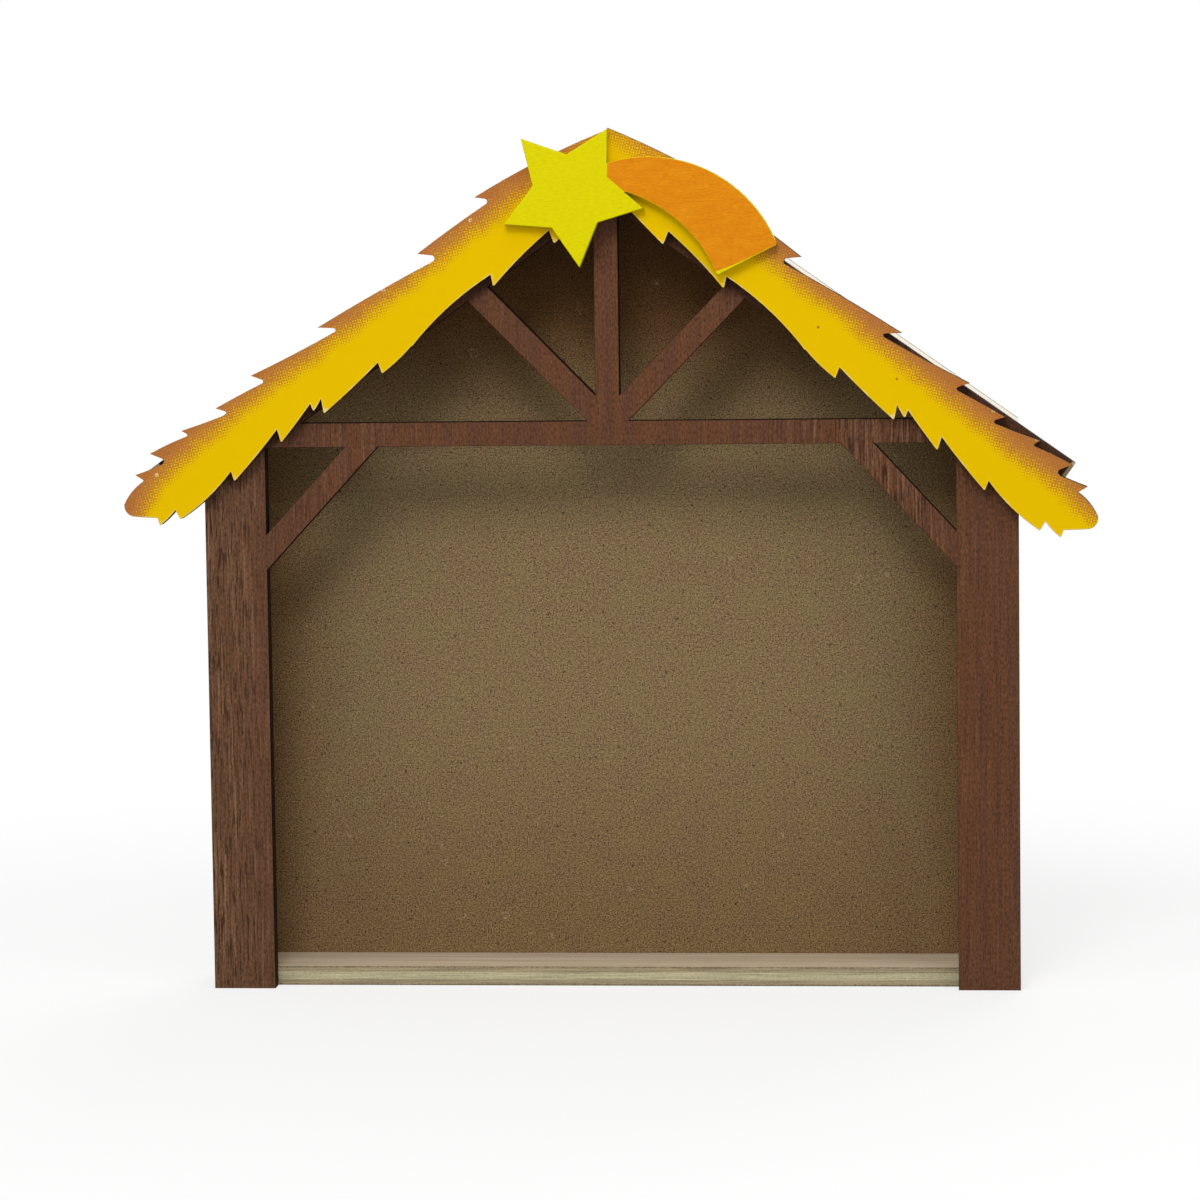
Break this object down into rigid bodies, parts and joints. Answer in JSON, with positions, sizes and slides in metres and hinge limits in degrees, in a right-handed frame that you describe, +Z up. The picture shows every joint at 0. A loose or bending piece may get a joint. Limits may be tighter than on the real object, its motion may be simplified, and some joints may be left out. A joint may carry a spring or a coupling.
{
  "type": "nativity stable",
  "caption": "Open-fronted toy stable of glued plywood with a pierced truss front, saw-toothed thatch trim on the gable and a comet over the ridge.",
  "frame": {"origin": "centre of the bounding box at floor level", "axes": "+X across the front to the viewer's right, +Y from the front to the back, +Z up"},
  "size_m": [0.2433, 0.035, 0.2162],
  "materials": {
    "stained_ply": "dark red-brown veneer with burnt cut edges",
    "raw_ply": "bare light plywood",
    "hardboard": "bare flecked hardboard",
    "printed_ply": "yellow print with an orange-brown halftone at the upper edge",
    "painted_ply": "satin paint, lemon yellow star and orange tail"
  },
  "bodies": {
    "root": {"front_frame": "stained_ply", "base_board": "raw_ply", "side_wall_left": "raw_ply", "side_wall_right": "raw_ply", "roof_board_left": "raw_ply", "roof_board_right": "raw_ply", "back_panel": "hardboard", "thatch_left": "printed_ply", "thatch_right": "printed_ply", "comet": "painted_ply"}
  },
  "joints": []
}
